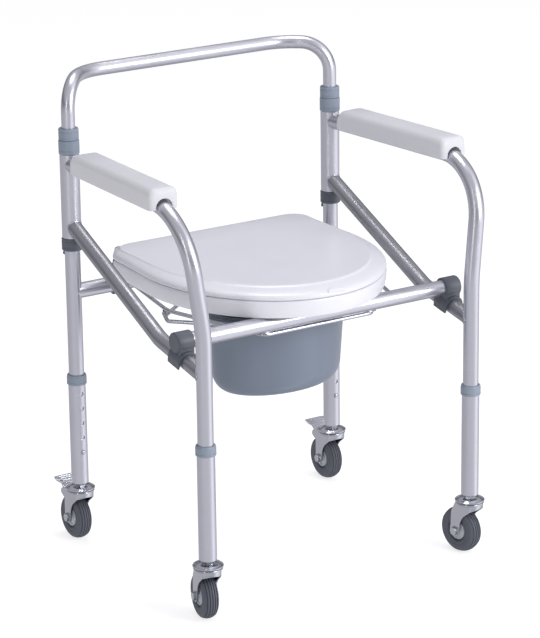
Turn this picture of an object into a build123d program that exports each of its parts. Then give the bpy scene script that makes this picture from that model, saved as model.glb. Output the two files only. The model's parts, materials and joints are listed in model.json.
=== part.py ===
"""Wheeled commode chair: folding aluminium frame, drop-on arms, lidded seat, pail and castors.

Units are millimetres. The origin is on the floor under the middle of the chair,
+Y points to the back and +Z up. Left is -X and right is +X, as seen from the front.
"""
import os
from math import atan2, cos, degrees, radians, sin, tan

from build123d import *

os.makedirs("parts", exist_ok=True)

# ---- driving dimensions -------------------------------------------------
half_width = 251.0  # leg axis from the middle plane
half_depth = 204.5  # leg axis from the middle of the legs
middle_y = -21.05  # middle of the four legs, so that the whole chair is centred
front_y = middle_y - half_depth
rear_y = middle_y + half_depth

wall = 1.4  # wall of the aluminium tubes
tube_r = 12.7  # posts, arms, crossbars and braces, 25.4 mm tube
leg_r = 14.3  # telescopic lower legs, 28.6 mm tube
leg_bore_r = 13.0
sleeve_r = 15.9  # swivel sleeve of each side frame
sleeve_bore_r = 14.35
back_r = 11.1  # backrest tube, 22.2 mm

leg_low_z = 107.0  # lower end of the lower legs
leg_high_z = 290.0
inner_low_z = 140.0  # lower end of the tubes inside the lower legs
button_z = 160.0  # lowest of the height holes
hole_pitch = 25.4
hole_count = 5
button_r = 3.8

pivot_low_z = 507.0  # fixed collar under each swivel sleeve
sleeve_low_z = 528.3
sleeve_high_z = 667.2
top_collar_z = 667.5
post_high_z = 690.5
back_collar_z = 690.8
back_bar_z = 784.0
back_foot_z = 560.0

arm_rear_z = 650.0  # the arms rise a little to the front
arm_front_z = 658.0
arm_flare = 23.0  # how far the arms spread at the front bend
arm_set_back = 9.0
brace_low = (front_y, 404.5)
brace_bend = (middle_y - 75.0, 428.0)
brace_high = (rear_y, 550.3)

cross_z = 435.0  # rear cross tube, the axis that the seat folds about
bar_y = middle_y - 141.0  # front crossbar of the seat
bar_z = 443.0

seat_low_z = 456.0
seat_split_z = 486.0
seat_high_z = 502.5
seat_half = 199.0
seat_front_y = middle_y - 194.0
seat_rear_y = middle_y + 207.0
ring_rear_y = middle_y + 181.0
seat_hinge_y = middle_y + 193.0
seat_hinge_z = 474.0
ear_x = 172.0  # hinge ears, and the lugs of the ring and lid inside them
ring_lug_x = 153.0
lid_lug_x = 133.0
lug_w = 14.0
pin_r = 3.0

pail_y = middle_y - 13.0
rail_z = 443.0
rack_z = 425.0
rod_r = 3.25

wheel_r = 38.0
wheel_w = 24.0
trail = 18.0
race_r = 24.5  # upper race plate of the castors
crown_r = 23.5
hub_r = 15.5
front_turn = 11.0  # how far the front castors stand turned inwards, degrees
rear_turn = 0.0

pedal_y = 33.0  # brake pedal's hinge, behind and above the floor point of the stem
pedal_z = 80.0
pedal_pin_r = 3.0

gap = 0.3
sides = {"left": -1, "right": 1}


# ---- helpers ------------------------------------------------------------
def bent_path(points, radii):
    """A wire of straight runs joined by tangent arcs, one radius at each inner point."""
    pts = [Vector(*p) for p in points]
    start = pts[0]
    with BuildLine() as path:
        for i, radius in enumerate(radii, start=1):
            back = (pts[i - 1] - pts[i]).normalized()
            ahead = (pts[i + 1] - pts[i]).normalized()
            half_turn = radians(180 - back.get_angle(ahead)) / 2
            reach = radius * tan(half_turn)
            first = pts[i] + back * reach
            last = pts[i] + ahead * reach
            inward = (back + ahead).normalized()
            middle = pts[i] + inward * (radius / cos(half_turn) - radius)
            Line(start, first)
            ThreePointArc(first, middle, last)
            start = last
        Line(start, pts[-1])
    return path.line


def swept(points, radii, outer, bore=0.0):
    """A round tube, or a rod where bore is 0, along a bent path."""
    path = bent_path(points, radii)
    with BuildPart() as body:
        with BuildSketch(Plane(origin=path @ 0, z_dir=path % 0)):
            Circle(outer)
            if bore:
                Circle(bore, mode=Mode.SUBTRACT)
        sweep(path=path)
    return body.part


def ring_at(x, y, low, high, outer, inner):
    """A plain upright ring."""
    with BuildPart() as body:
        with BuildSketch(Plane.XY.offset(low)):
            with Locations((x, y)):
                Circle(outer)
                Circle(inner, mode=Mode.SUBTRACT)
        extrude(amount=high - low)
    return body.part


def write(part, name):
    part.label = name
    export_step(part, f"parts/{name}.step")


# ---- rear frame ---------------------------------------------------------
def rivet_plane(x):
    """Plane through a post's axis that faces the way its collar rivet points."""
    return Plane(origin=(x, rear_y, pivot_low_z - 7), x_dir=(0, 0, 1), z_dir=(-0.5, 0.85, 0))


def rear_post(side):
    """Upright tube, open at the top and drilled for the height button and collar rivet."""
    x = side * half_width
    with BuildPart() as post:
        add(ring_at(x, rear_y, inner_low_z, post_high_z - gap, tube_r, tube_r - wall + 0.2))
        with BuildSketch(Plane.XZ.offset(-rear_y)):
            with Locations((x, button_z)):
                Circle(button_r + 0.1)
        extrude(amount=tube_r * 2, mode=Mode.SUBTRACT)
        with BuildSketch(rivet_plane(x)):
            Circle(3.65)
        extrude(amount=tube_r * 2, mode=Mode.SUBTRACT)
    return post.part


def rear_cross_tube():
    """Tube between the rear posts, coped to them."""
    with BuildPart() as cross:
        with BuildSketch(Plane.YZ.offset(-half_width)):
            with Locations((rear_y, cross_z)):
                Circle(tube_r)
                Circle(tube_r - wall, mode=Mode.SUBTRACT)
        extrude(amount=2 * half_width)
        for side in sides.values():
            with Locations((side * half_width, rear_y, cross_z)):
                Cylinder(tube_r + 0.02, 4 * tube_r, mode=Mode.SUBTRACT)
    return cross.part


def collar_pair(low, high, outer, spigot_low, spigot_high):
    """Two fixed collars with a spigot that the swivel sleeve turns on, one on each post."""
    with BuildPart() as pair:
        for side in sides.values():
            with BuildSketch(Plane.XY.offset(low)):
                with Locations((side * half_width, rear_y)):
                    Circle(outer)
            extrude(amount=high - low)
            edges = pair.part.edges().filter_by(GeomType.CIRCLE).group_by(Axis.X)
            fillet(edges[-1] if side > 0 else edges[0], 1.2)
            with BuildSketch(Plane.XY.offset(spigot_low)):
                with Locations((side * half_width, rear_y)):
                    Circle(sleeve_bore_r - 0.08)
            extrude(amount=spigot_high - spigot_low)
            with Locations((side * half_width, rear_y, (low + high) / 2)):
                Cylinder(tube_r + 0.02, 100, mode=Mode.SUBTRACT)
    return pair.part


def collar_rivets():
    """Snap rivets behind the posts that carry the lower collars."""
    with BuildPart() as rivets:
        for side in sides.values():
            with BuildSketch(rivet_plane(side * half_width).offset(tube_r - 1.0)):
                Circle(3.6)
            extrude(amount=4.2)
    return rivets.part


# ---- backrest -----------------------------------------------------------
def backrest_tube():
    """Removable back hoop, its bar set behind the posts, with its feet inside them."""
    set_back = 55.5
    inward = 63.0
    points = [
        (-half_width, rear_y, back_foot_z),
        (-half_width, rear_y, back_bar_z),
        (-half_width + inward, rear_y + set_back, back_bar_z),
        (half_width - inward, rear_y + set_back, back_bar_z),
        (half_width, rear_y, back_bar_z),
        (half_width, rear_y, back_foot_z),
    ]
    return swept(points, [48, 84, 84, 48], back_r, back_r - 1.2)


def backrest_collars():
    """Plastic collars fixed to the hoop, which rest on the posts' own collars."""
    with BuildPart() as pair:
        for side in sides.values():
            spot = Plane(origin=(side * half_width, rear_y, 0), x_dir=(1, 0, 0), z_dir=(0, -1, 0))
            with BuildSketch(spot):
                with BuildLine():
                    Polyline((back_r + 0.02, back_collar_z), (16.4, back_collar_z),
                             (16.4, back_collar_z + 15.5), (15.2, back_collar_z + 18.7),
                             (back_r + 0.02, back_collar_z + 18.7), close=True)
                make_face()
            revolve(axis=Axis((side * half_width, rear_y, 0), (0, 0, 1)))
    return pair.part


# ---- side frames --------------------------------------------------------
def sleeve(side):
    return ring_at(side * half_width, rear_y, sleeve_low_z, sleeve_high_z, sleeve_r, sleeve_bore_r)


def arm_tube(side):
    """Arm and front leg in one tube: level arm, long front bend, flared top and straight foot."""
    x = side * half_width
    points = [
        (x, front_y, inner_low_z),
        (x, front_y, 470.0),
        (x + side * arm_flare, front_y + arm_set_back, arm_front_z),
        (x, rear_y, arm_rear_z),
    ]
    with BuildPart() as arm:
        add(swept(points, [260, 96], tube_r, tube_r - wall))
        with Locations((x, rear_y, arm_rear_z)):
            Cylinder(sleeve_r + 0.02, 60, mode=Mode.SUBTRACT)
        with BuildSketch(Plane.XZ.offset(-front_y)):
            with Locations((x, button_z)):
                Circle(button_r + 0.1)
        extrude(amount=-2 * tube_r, mode=Mode.SUBTRACT)
    return arm.part


def brace(side):
    """Slanting side tube from the sleeve to the front leg, coped to both."""
    x = side * half_width
    points = [(x, brace_high[0], brace_high[1]), (x, brace_bend[0], brace_bend[1]),
              (x, brace_low[0], brace_low[1])]
    with BuildPart() as bar:
        add(swept(points, [70], tube_r, tube_r - wall))
        with Locations((x, rear_y, brace_high[1])):
            Cylinder(sleeve_r + 0.02, 90, mode=Mode.SUBTRACT)
        with Locations((x, front_y, brace_low[1])):
            Cylinder(tube_r + 0.02, 90, mode=Mode.SUBTRACT)
    return bar.part


def arm_pad(side):
    """Hollow moulded pad, a channel that drops over the arm."""
    reach = 2 * half_depth - arm_set_back
    spread = degrees(atan2(arm_flare, reach))
    rise = degrees(atan2(arm_front_z - arm_rear_z, reach))
    length = 286.0
    start = 48.0
    width = 50.0
    low = -3.0
    high = 30.0
    with BuildPart() as pad:
        with BuildSketch(Plane.XZ.offset(start)):
            with BuildLine():
                Polyline((-width / 2, low), (-width / 2, high), (width / 2, high),
                         (width / 2, low), close=True)
            make_face()
            top = vertices().group_by(Axis.Y)[-1]
            fillet(top, 13)
        extrude(amount=length)
        ends = pad.faces().filter_by(Axis.Y)
        fillet(ends.sort_by(Axis.Y)[-1].edges().group_by(Axis.Z)[-1], 12)
        fillet(ends.sort_by(Axis.Y)[0].edges().filter_by(Axis.X).sort_by(Axis.Z)[-1], 4)
        with BuildSketch(Plane.XZ.offset(start + 3)):
            with Locations((0, (low + high - 4.5) / 2)):
                Rectangle(width - 6, high - low - 4.5)
                fillet(vertices().group_by(Axis.Y)[-1], 10)
        extrude(amount=length - 6, mode=Mode.SUBTRACT)
        with BuildSketch(Plane.XZ.offset(start - 1)):
            Circle(tube_r + 1.3)
            with Locations((0, -10)):
                Rectangle(2 * tube_r + 2.6, 20)
        extrude(amount=length + 2, mode=Mode.SUBTRACT)
    place = Location((side * half_width, rear_y, arm_rear_z), (-rise, 0, side * spread))
    return pad.part.moved(place)


# ---- lower legs ---------------------------------------------------------
def lower_leg(x, y, facing):
    """Telescopic lower leg with the row of height holes on its inner face."""
    with BuildPart() as leg:
        add(ring_at(x, y, leg_low_z, leg_high_z, leg_r, leg_bore_r))
        for k in range(hole_count):
            with BuildSketch(Plane.XZ.offset(-y)):
                with Locations((x, button_z + k * hole_pitch)):
                    Circle(button_r + 0.25)
            extrude(amount=-facing * 2 * leg_r, mode=Mode.SUBTRACT)
    return leg.part


def leg_collar(x, y):
    """Grey collar on top of the lower leg, with a lip over the tube's end."""
    low = 277.0
    with BuildPart() as collar:
        with BuildSketch(Plane(origin=(x, y, 0), x_dir=(1, 0, 0), z_dir=(0, -1, 0))):
            with BuildLine():
                Polyline((leg_r + 0.02, low), (16.4, low), (16.4, low + 12), (15.6, low + 17),
                         (leg_bore_r, low + 17), (leg_bore_r, leg_high_z + 0.02),
                         (leg_r + 0.02, leg_high_z + 0.02), close=True)
            make_face()
        revolve(axis=Axis((x, y, 0), (0, 0, 1)))
    return collar.part


def height_button(x, y, facing):
    """Domed spring button that stands out of the tube through the leg's lowest hole."""
    spot = Plane(origin=(x, y, button_z), x_dir=(1, 0, 0), z_dir=(0, facing, 0))
    with BuildPart() as button:
        with BuildSketch(spot.offset(8.2)):
            Circle(button_r)
        extrude(amount=leg_r + 2.4 - 8.2)
        fillet(button.faces().sort_by(Axis.Y)[-1 if facing > 0 else 0].edges(), 2.2)
    return button.part


# ---- seat ---------------------------------------------------------------
def seat_outline(inset):
    """Seat shape: half an ellipse at the front, a rounded straight edge at the back."""
    middle = middle_y + 45.0
    half = seat_half - inset
    front = seat_front_y + inset
    rear = seat_rear_y - inset
    rear_half = half - 6.0
    corner = 42.0 - inset
    with BuildSketch() as shape:
        with BuildLine():
            EllipticalCenterArc((0, middle), half, middle - front, start_angle=180, arc_size=180)
            bend = Spline((half, middle), (rear_half, rear - corner),
                          tangents=[(0, 1), (-0.09, 1)])
            RadiusArc(bend @ 1, (rear_half - corner, rear), -corner)
            Line((rear_half - corner, rear), (corner - rear_half, rear))
            RadiusArc((corner - rear_half, rear), (-rear_half, rear - corner), -corner)
            Spline((-rear_half, rear - corner), (-half, middle), tangents=[(-0.09, -1), (0, -1)])
        make_face()
    return shape.sketch


def seat_hole(grow):
    """The opening of the seat ring, an oval."""
    with BuildSketch() as shape:
        with Locations((0, middle_y - 28.0)):
            Ellipse(104.0 + grow, 128.0 + grow)
    return shape.sketch


def hinge_lugs(x, low_y, low_z, high_z):
    """Lugs of the ring or lid round the hinge pins, at x on both sides."""
    with BuildPart() as lugs:
        for side in sides.values():
            with BuildSketch(Plane.YZ.offset(side * x - lug_w / 2)):
                with Locations((seat_hinge_y, seat_hinge_z)):
                    Circle(7.0)
                with BuildLine():
                    Polyline((low_y, low_z), (low_y, high_z), (seat_hinge_y + 5, high_z),
                             (seat_hinge_y + 7, seat_hinge_z), (seat_hinge_y, seat_hinge_z - 7),
                             close=True)
                make_face()
            extrude(amount=lug_w)
    return lugs.part


def pin_bores():
    """The running bores of the hinge pins, right through."""
    with BuildPart() as bores:
        with Locations(Location((0, seat_hinge_y, seat_hinge_z), (0, 90, 0))):
            Cylinder(pin_r + 0.06, 500)
    return bores.part


def seat_ring():
    """Moulded seat ring, hollow underneath, with a rounded oval opening and two rear lugs."""
    with BuildPart() as ring:
        with BuildSketch(Plane.XY.offset(seat_low_z)):
            add(seat_outline(4))
        with BuildSketch(Plane.XY.offset(seat_split_z - 5)):
            add(seat_outline(0))
        loft(ruled=True)
        with BuildSketch(Plane.XY.offset(seat_split_z - 5)):
            add(seat_outline(0))
        extrude(amount=4.4)
        fillet(ring.faces().sort_by(Axis.Z)[-1].edges(), 3)
        with BuildSketch(Plane.XY.offset(seat_low_z - 1)):
            add(seat_hole(0))
        extrude(amount=60, mode=Mode.SUBTRACT)
        fillet(ring.faces().sort_by(Axis.Z)[-1].inner_wires().edges(), 4)
        with BuildSketch(Plane.XY.offset(seat_low_z)):
            add(seat_outline(8))
            add(seat_hole(4), mode=Mode.SUBTRACT)
            with Locations((0, seat_rear_y)):
                Rectangle(500, 2 * (seat_rear_y - ring_rear_y + 4), mode=Mode.SUBTRACT)
        extrude(amount=seat_split_z - seat_low_z - 4.6, mode=Mode.SUBTRACT)
        with Locations((0, ring_rear_y + 50, seat_low_z)):
            Box(500, 100, 100, mode=Mode.SUBTRACT)
        add(hinge_lugs(ring_lug_x, ring_rear_y - 2, seat_low_z + 1, seat_split_z - 5))
        add(pin_bores(), mode=Mode.SUBTRACT)
    return ring.part


def seat_lid():
    """Shallow hollow lid on two rear lugs, its rear wall notched for the ears."""
    with BuildPart() as lid:
        with BuildSketch(Plane.XY.offset(seat_split_z)):
            add(seat_outline(0.5))
        extrude(amount=seat_high_z - seat_split_z)
        fillet(lid.faces().sort_by(Axis.Z)[-1].edges(), 9)
        with BuildSketch(Plane.XY.offset(seat_split_z)):
            add(seat_outline(5))
        extrude(amount=seat_high_z - seat_split_z - 4, mode=Mode.SUBTRACT)
        with Locations(*[(side * ear_x, seat_hinge_y + 12, seat_split_z) for side in sides.values()]):
            Box(lug_w + 3, 20, 24, mode=Mode.SUBTRACT)
        add(hinge_lugs(lid_lug_x, seat_hinge_y - 7, seat_hinge_z, seat_high_z - 3.9))
        add(pin_bores(), mode=Mode.SUBTRACT)
    return lid.part


def hinge_ears():
    """Ears that clip on the rear cross tube and carry the seat's hinge pins."""
    with BuildPart() as ears:
        for side in sides.values():
            with BuildSketch(Plane.YZ.offset(side * ear_x - lug_w / 2)):
                with Locations((seat_hinge_y, seat_hinge_z)):
                    Circle(8.0)
                with BuildLine():
                    Polyline((seat_hinge_y - 8, seat_hinge_z), (seat_hinge_y + 8, seat_hinge_z),
                             (rear_y + 17, cross_z), (rear_y - 17, cross_z), close=True)
                make_face()
                with Locations((rear_y, cross_z)):
                    Circle(17.0)
                    Circle(tube_r + 0.08, mode=Mode.SUBTRACT)
                with Locations((seat_hinge_y, seat_hinge_z)):
                    Circle(pin_r + 0.02, mode=Mode.SUBTRACT)
            extrude(amount=lug_w)
    return ears.part


def hinge_pins():
    """Two steel pins through the ears, on which the ring and the lid turn."""
    with BuildPart() as pins:
        for side in sides.values():
            with BuildSketch(Plane.YZ.offset(side * (lid_lug_x - lug_w / 2 - 2))):
                with Locations((seat_hinge_y, seat_hinge_z)):
                    Circle(pin_r)
            extrude(amount=side * (ear_x - lid_lug_x + lug_w + 4))
    return pins.part


def front_crossbar():
    with BuildPart() as bar:
        with BuildSketch(Plane.YZ.offset(-half_width - 7)):
            with Locations((bar_y, bar_z)):
                Circle(tube_r)
                Circle(tube_r - wall, mode=Mode.SUBTRACT)
        extrude(amount=2 * half_width + 14)
    return bar.part


def brace_height(y):
    """Height of the brace's lower run at y."""
    slope = (brace_bend[1] - brace_low[1]) / (brace_bend[0] - brace_low[0])
    return brace_low[1] + slope * (y - brace_low[0])


def bar_clip(side):
    """End clip: a cap on the crossbar over a saddle that drops onto the side brace."""
    x = side * half_width
    z = brace_height(bar_y)
    tilt = atan2(brace_bend[1] - brace_low[1], brace_bend[0] - brace_low[0])
    along = Plane(origin=(x, bar_y, z), x_dir=(1, 0, 0), z_dir=(0, -cos(tilt), -sin(tilt)))
    bore = tube_r + 0.4
    outer = 17.4
    lip = 9.5
    with BuildPart() as clip:
        with BuildSketch(Plane.YZ.offset(x - side * 13)):
            with Locations((bar_y, bar_z)):
                Circle(16.5)
        extrude(amount=side * 28.5)
        fillet(clip.faces().sort_by(Axis.X)[-1 if side > 0 else 0].edges(), 2.5)
        with Locations((x, bar_y, (z + bar_z) / 2)):
            Box(26.0, 28.0, bar_z - z)
        with BuildSketch(along.offset(-30)):
            Circle(bore + 1.0)
            with Locations((0, -20)):
                Rectangle(60, 40)
        extrude(amount=60, mode=Mode.SUBTRACT)
        with BuildSketch(along.offset(-16)):
            with BuildLine():
                ThreePointArc((-outer, 0), (0, outer), (outer, 0))
                Polyline((outer, 0), (outer - 0.4, -lip), (bore + 2.0, -lip), (bore, 0))
                ThreePointArc((bore, 0), (0, bore), (-bore, 0))
                Polyline((-bore, 0), (-bore - 2.0, -lip), (0.4 - outer, -lip), (-outer, 0))
            make_face()
        extrude(amount=32)
        with BuildSketch(Plane.YZ.offset(x - side * 14)):
            with Locations((bar_y, bar_z)):
                Circle(tube_r + 0.02)
        extrude(amount=side * 21, mode=Mode.SUBTRACT)
    return clip.part


def side_rails():
    """Rods under the seat from the front crossbar to the rear ears, one on each side."""
    with BuildPart() as rails:
        for side in sides.values():
            points = [
                (side * 150.0, bar_y + tube_r + 1.0, rail_z),
                (side * 190.0, middle_y + 7.0, rail_z),
                (side * ear_x, middle_y + 140.0, rail_z + 4),
                (side * ear_x, rear_y - 18.6, rail_z + 4),
            ]
            add(swept(points, [60, 40], rod_r))
    return rails.part


def pail_rack():
    """Two bent rods under the pail's rim, one across behind it, one across below the crossbar."""
    top_z = rail_z - 2 * rod_r
    front = [
        (190.0, middle_y + 20.0, top_z),
        (190.0, middle_y + 8.0, rack_z),
        (122.0, middle_y - 62.0, rack_z),
        (104.0, bar_y + 1.0, rack_z),
    ]
    rear = [
        (184.0, middle_y + 27.0, top_z),
        (179.0, middle_y + 34.0, rack_z),
        (116.0, middle_y + 86.0, rack_z),
    ]
    with BuildPart() as rack:
        for half, radii in ((front, [5, 60, 12]), (rear, [5, 40])):
            points = [(-x, y, z) for x, y, z in half] + half[::-1]
            add(swept(points, radii + radii[::-1], rod_r))
    return rack.part


def oval_cup(low, high, bottom, top, corner):
    """A solid oval cup between two heights, with a rounded floor."""
    with BuildPart() as cup:
        for z, (half_x, half_y) in ((low, bottom), (high, top)):
            with BuildSketch(Plane.XY.offset(z)):
                with Locations((0, pail_y)):
                    Ellipse(half_x, half_y)
        loft(ruled=True)
        fillet(cup.faces().sort_by(Axis.Z)[0].edges(), corner)
    return cup.part


def pail():
    """Oval moulded pail with a round-cornered floor and a flat rim."""
    rim_z = rack_z + rod_r + 0.05
    floor_z = 292.0
    thick = 2.6
    with BuildPart() as bowl:
        add(oval_cup(floor_z, rim_z + 0.5, (111.0, 78.0), (121.0, 88.0), 26))
        with BuildSketch(Plane.XY.offset(rim_z)):
            with Locations((0, pail_y)):
                Ellipse(138.0, 106.0)
        extrude(amount=3.0)
        add(oval_cup(floor_z + thick, rim_z + 4.0, (111.0 - thick, 78.0 - thick),
                     (121.0 - thick, 88.0 - thick), 23.5), mode=Mode.SUBTRACT)
    return bowl.part


# ---- castors, built at the origin with the wheel trailing to +Y ---------
def castor_stem():
    """Plug, nut, upper race plate and king pin, fixed in the lower leg."""
    with BuildPart() as stem:
        with BuildSketch(Plane.XZ):
            with BuildLine():
                Polyline((0, 83.5), (7.5, 83.5), (7.5, 85.8), (4.9, 85.8), (4.9, 92.2),
                         (race_r - 2, 92.2), (race_r, 93.6), (race_r, 95.4), (14.0, 97.6), (8.0, 98.2),
                         (8.0, 103.4), (12.6, 103.4), (leg_r - 0.1, leg_low_z - 0.02),
                         (leg_bore_r - 0.1, leg_low_z - 0.02), (leg_bore_r - 0.1, 132.0),
                         (0, 132.0), close=True)
            make_face()
        revolve(axis=Axis.Z)
        with BuildSketch(Plane.XY.offset(98.0)):
            RegularPolygon(9.8, 6)
        extrude(amount=5.4)
    return stem.part


def castor_fork(braked):
    """Pressed steel fork: round crown on the race, two cheeks to the axle, brake ears."""
    inner = wheel_w / 2 + 2.0
    with BuildPart() as fork:
        with BuildSketch(Plane.XY.offset(88.2)):
            Circle(crown_r)
        extrude(amount=3.7)
        fillet(fork.faces().sort_by(Axis.Z)[-1].edges(), 1.5)
        for side in (-1, 1):
            with BuildSketch(Plane.YZ.offset(side * inner)):
                with BuildLine():
                    Polyline((-17.0, 89.5), (-16.0, 78.0), (trail - 9.5, wheel_r + 2),
                             (trail + 9.5, wheel_r + 1), (trail + 7, 62.0), (23.0, 80.0),
                             (17.0, 89.5), close=True)
                make_face()
                with Locations((trail, wheel_r)):
                    Circle(10.0)
                if braked:
                    with BuildLine():
                        Polyline((10.0, 89.0), (pedal_y, pedal_z + 6), (pedal_y, pedal_z - 6),
                                 (14.0, 70.0), close=True)
                    make_face()
                    with Locations((pedal_y, pedal_z)):
                        Circle(6.0)
                    with Locations((pedal_y, pedal_z)):
                        Circle(pedal_pin_r + 0.06, mode=Mode.SUBTRACT)
                with Locations((trail, wheel_r)):
                    Circle(4.02, mode=Mode.SUBTRACT)
            extrude(amount=side * 2.4)
        with Locations((0, 0, 88)):
            Cylinder(5.0, 12, mode=Mode.SUBTRACT)
        with BuildSketch(Plane.XY.offset(82.0)):
            Circle(8.5)
        extrude(amount=6.2, mode=Mode.SUBTRACT)
    return fork.part


def castor_axle():
    """Axle bolt with its head and nut outside the fork."""
    outer = wheel_w / 2 + 2.0 + 2.4
    with BuildPart() as axle:
        with BuildSketch(Plane.YZ.offset(-outer - 4.5)):
            with Locations((trail, wheel_r)):
                Circle(4.0)
        extrude(amount=2 * outer + 10.5)
        for start, thick in ((-outer - 4.5, 4.45), (outer + 0.05, 4.5)):
            with BuildSketch(Plane.YZ.offset(start)):
                with Locations((trail, wheel_r)):
                    RegularPolygon(7.4, 6)
            extrude(amount=thick)
    return axle.part


def wheel_hub():
    """Light plastic wheel centre with a dished web."""
    half = wheel_w / 2
    with BuildPart() as hub:
        with BuildSketch(Plane.XY):
            with BuildLine():
                Polyline((half + 1.4, 4.06), (half + 1.4, 7.0), (half - 3.0, 8.0),
                         (half - 3.0, 12.5), (half - 1.0, 14.0), (half - 1.0, hub_r),
                         (1.0 - half, hub_r), (1.0 - half, 14.0), (3.0 - half, 12.5),
                         (3.0 - half, 8.0), (-half - 1.4, 7.0), (-half - 1.4, 4.06), close=True)
            make_face()
        revolve(axis=Axis.X)
    return hub.part.moved(Location((0, trail, wheel_r)))


def wheel_tyre():
    """Soft grey tyre with a crowned, grooved tread."""
    half = wheel_w / 2
    bead = half - 1.0
    bead_r = hub_r + 0.05
    with BuildPart() as tyre:
        with BuildSketch(Plane.XY):
            with BuildLine():
                Polyline((-bead, bead_r), (-half, 20.0), (-half, 32.0))
                ThreePointArc((-half, 32.0), (0, wheel_r), (half, 32.0))
                Polyline((half, 32.0), (half, 20.0), (bead, bead_r), (-bead, bead_r))
            make_face()
            with Locations((-5.5, wheel_r - 0.6), (0, wheel_r), (5.5, wheel_r - 0.6)):
                Rectangle(1.2, 3.0, mode=Mode.SUBTRACT)
        revolve(axis=Axis.X)
    return tyre.part.moved(Location((0, trail, wheel_r)))


def brake_pedal():
    """Toe pedal over a rear wheel, hinged in the fork's ears, with its shoe above the tyre."""
    half = wheel_w / 2
    toe_half = 19.0
    with BuildPart() as pedal:
        with BuildSketch(Plane.YZ.offset(-half)):
            with BuildLine():
                Polyline((27.0, 79.0), (29.0, 84.0), (34.0, 85.0), (44.0, 92.0), (46.0, 89.5),
                         (41.0, 84.0), (45.5, 72.0), (44.0, 70.5), (37.0, 74.0), close=True)
            make_face()
        extrude(amount=wheel_w)
        with BuildSketch(Plane.YZ.offset(-toe_half)):
            with BuildLine():
                Polyline((41.0, 89.8), (51.0, 96.6), (57.5, 98.6), (58.2, 96.4), (52.2, 94.4),
                         (42.4, 87.8), close=True)
            make_face()
        extrude(amount=2 * toe_half)
        with BuildSketch(Plane.YZ.offset(-half - 4.4)):
            with Locations((pedal_y, pedal_z)):
                Circle(pedal_pin_r)
        extrude(amount=wheel_w + 8.8)
    return pedal.part


castor_pieces = {
    "stem": castor_stem(),
    "axle": castor_axle(),
    "hub": wheel_hub(),
    "tyre": wheel_tyre(),
}


# ---- assembly -----------------------------------------------------------
def write_frame():
    write(rear_cross_tube(), "rear_cross_tube")
    write(collar_pair(pivot_low_z, sleeve_low_z - gap, 17.0, sleeve_low_z - gap, 548.0),
          "pivot_collars")
    write(collar_pair(top_collar_z, post_high_z, 17.0, 647.0, top_collar_z), "post_collars")
    write(collar_rivets(), "collar_rivets")
    write(backrest_tube(), "backrest_tube")
    write(backrest_collars(), "backrest_collars")
    for name, side in sides.items():
        write(rear_post(side), f"rear_post_{name}")
        write(sleeve(side), f"sleeve_{name}")
        write(arm_tube(side), f"arm_tube_{name}")
        write(brace(side), f"brace_{name}")
        write(arm_pad(side), f"arm_pad_{name}")
        write(bar_clip(side), f"bar_clip_{name}")


def write_seat():
    write(front_crossbar(), "front_crossbar")
    write(side_rails(), "side_rails")
    write(pail_rack(), "pail_rack")
    write(hinge_ears(), "hinge_ears")
    write(hinge_pins(), "hinge_pins")
    write(seat_ring(), "seat_ring")
    write(seat_lid(), "seat_lid")
    write(pail(), "pail")


def write_corner(end, name, side):
    """One lower leg with its collar, height button and castor."""
    x = side * half_width
    y = front_y if end == "front" else rear_y
    facing = 1 if end == "front" else -1
    turn = side * (front_turn if end == "front" else rear_turn)
    corner = f"{end}_{name}"
    write(lower_leg(x, y, facing), f"lower_leg_{corner}")
    write(leg_collar(x, y), f"leg_collar_{corner}")
    write(height_button(x, y, facing), f"height_button_{corner}")
    place = Location((x, y, 0), (0, 0, turn))
    for piece, shape in castor_pieces.items():
        write(shape.moved(place), f"castor_{piece}_{corner}")
    write(castor_fork(end == "rear").moved(place), f"castor_fork_{corner}")
    if end == "rear":
        write(brake_pedal().moved(place), f"brake_pedal_{corner}")


write_frame()
write_seat()
for end in ("front", "rear"):
    for name, side in sides.items():
        write_corner(end, name, side)
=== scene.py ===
"""Looks of the wheeled commode chair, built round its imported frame.

Shapes are written in millimetres in the frame's own axes and scaled to metres as each mesh is made.
"""
import json
from math import asin, atan2, cos, pi, radians, sin, sqrt

import bmesh
import bpy
from mathutils import Matrix, Vector


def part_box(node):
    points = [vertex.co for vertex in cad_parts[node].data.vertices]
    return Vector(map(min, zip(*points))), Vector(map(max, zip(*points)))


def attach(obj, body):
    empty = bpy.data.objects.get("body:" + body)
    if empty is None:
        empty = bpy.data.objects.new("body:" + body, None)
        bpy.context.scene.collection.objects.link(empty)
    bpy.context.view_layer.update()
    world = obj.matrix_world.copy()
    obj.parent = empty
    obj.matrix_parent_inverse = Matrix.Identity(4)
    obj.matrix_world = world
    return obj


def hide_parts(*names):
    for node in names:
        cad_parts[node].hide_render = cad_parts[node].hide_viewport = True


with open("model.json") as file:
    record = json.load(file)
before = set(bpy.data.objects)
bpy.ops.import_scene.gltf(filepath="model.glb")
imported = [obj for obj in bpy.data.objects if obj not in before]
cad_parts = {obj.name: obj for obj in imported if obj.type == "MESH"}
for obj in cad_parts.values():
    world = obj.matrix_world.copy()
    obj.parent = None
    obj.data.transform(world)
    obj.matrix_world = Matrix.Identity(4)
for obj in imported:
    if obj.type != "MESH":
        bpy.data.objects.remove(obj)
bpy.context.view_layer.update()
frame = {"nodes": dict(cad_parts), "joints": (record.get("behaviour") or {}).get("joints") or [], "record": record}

MM = 0.001
SIDES = {"left": -1, "right": 1}
ENDS = ("front", "rear")


# ---- places read from the frame -----------------------------------------
def middle(node):
    """Centre of a CAD node's box, in millimetres."""
    low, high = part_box(node)
    return (low + high) / 2 / MM


def span(node, axis):
    """Lowest and highest value of a CAD node along one axis, in millimetres."""
    low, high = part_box(node)
    return low[axis] / MM, high[axis] / MM


def joint(name):
    return next(j for j in frame["joints"] if j["name"] == name)


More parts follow.
